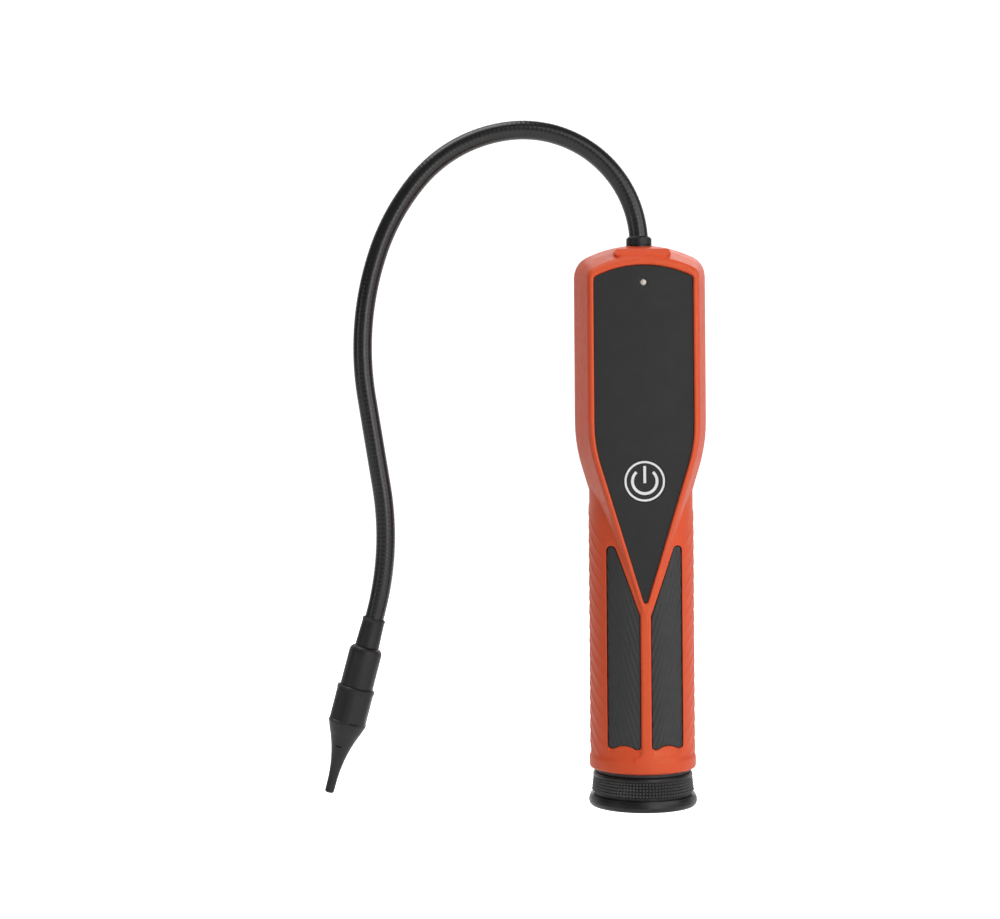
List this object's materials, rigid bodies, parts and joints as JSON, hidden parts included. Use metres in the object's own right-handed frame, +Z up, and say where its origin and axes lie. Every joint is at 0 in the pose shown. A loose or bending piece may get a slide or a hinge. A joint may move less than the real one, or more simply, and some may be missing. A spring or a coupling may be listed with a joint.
{
  "type": "refrigerant leak detector",
  "caption": "Handheld leak detector with a moulded boot, a flat label with a power key, a knurled battery cap and a stay-put neck that carries a sensor under a flared nozzle.",
  "frame": {"origin": "centre of the battery cap's flat foot, on the handle's axis", "axes": "+Z up along the handle, -Y out of the label, the neck arches towards -X"},
  "size_m": [0.1723, 0.0486, 0.3075],
  "materials": {
    "orange_boot": "satin moulded orange",
    "inner_shell": "black moulded",
    "label_film": "matt dark grey film",
    "grip_rubber": "matt ribbed dark grey",
    "switch_plastic": "black moulded",
    "lamp_lens": "clear lens",
    "board_green": "green lacquer",
    "connector_plastic": "off-white moulded",
    "lead_jacket": "red jacket",
    "cell_case": "wrapped can",
    "contact_brass": "bright",
    "spring_steel": "plated",
    "cap_plastic": "black moulded",
    "seal_rubber": "matt black"
  },
  "bodies": {
    "housing": {"boot": "orange_boot", "front_shell": "inner_shell", "rear_shell": "inner_shell", "label_overlay": "label_film", "left_grip_insert": "grip_rubber", "right_grip_insert": "grip_rubber", "tactile_switch": "switch_plastic", "indicator_lamp": "lamp_lens", "circuit_board": "board_green", "control_chip": "switch_plastic", "sounder": "switch_plastic", "lead_connector": "connector_plastic", "battery_leads": "lead_jacket", "battery_tube": "inner_shell", "upper_battery": "cell_case", "lower_battery": "cell_case", "positive_contact": "contact_brass", "negative_strip": "contact_brass", "neck_ferrule": "cap_plastic", "neck_nut": "spring_steel", "gooseneck_core": "spring_steel", "gooseneck_sleeve": "seal_rubber", "sensor_lead": "lead_jacket", "housing_screws": "spring_steel", "board_screws": "spring_steel"},
    "power_key": {"power_button": "label_film", "switch_plunger": "switch_plastic"},
    "spring_carriage": {"battery_spring": "spring_steel"},
    "screw_cap": {"battery_cap": "cap_plastic", "cap_contact": "contact_brass", "cap_seal": "seal_rubber"},
    "probe_head": {"neck_end_sleeve": "cap_plastic", "sensor_socket": "cap_plastic", "sensor": "spring_steel"},
    "nozzle_cover": {"sensor_cover": "cap_plastic"}
  },
  "joints": [
    {"name": "power_press", "type": "slide", "parent": "housing", "child": "power_key", "axis": [0, 1, 0], "range_m": [0, 0.0005], "stiffness_N_per_m": 3000},
    {"name": "cap_travel", "type": "slide", "parent": "housing", "child": "spring_carriage", "axis": [0, 0, -1], "range_m": [0, 0.009], "deforming": ["battery_spring"]},
    {"name": "cap_turn", "type": "hinge", "parent": "spring_carriage", "child": "screw_cap", "pos_m": [0, 0, 0], "axis": [0, 0, -1], "range_deg": [0, 1080]},
    {"name": "neck_bend", "type": "hinge", "parent": "housing", "child": "probe_head", "pos_m": [-0.1198, 0, 0.1633], "axis": [0, 1, 0], "range_deg": [-20, 35], "deforming": ["gooseneck_sleeve", "gooseneck_core", "sensor_lead"]},
    {"name": "cover_pull", "type": "slide", "parent": "probe_head", "child": "nozzle_cover", "axis": [-0.2588, 0, -0.9659], "range_m": [0, 0.008]}
  ],
  "couplings": [
    {"joint": "cap_travel", "follows": "cap_turn", "m_per_rad": 0.00047746}
  ]
}
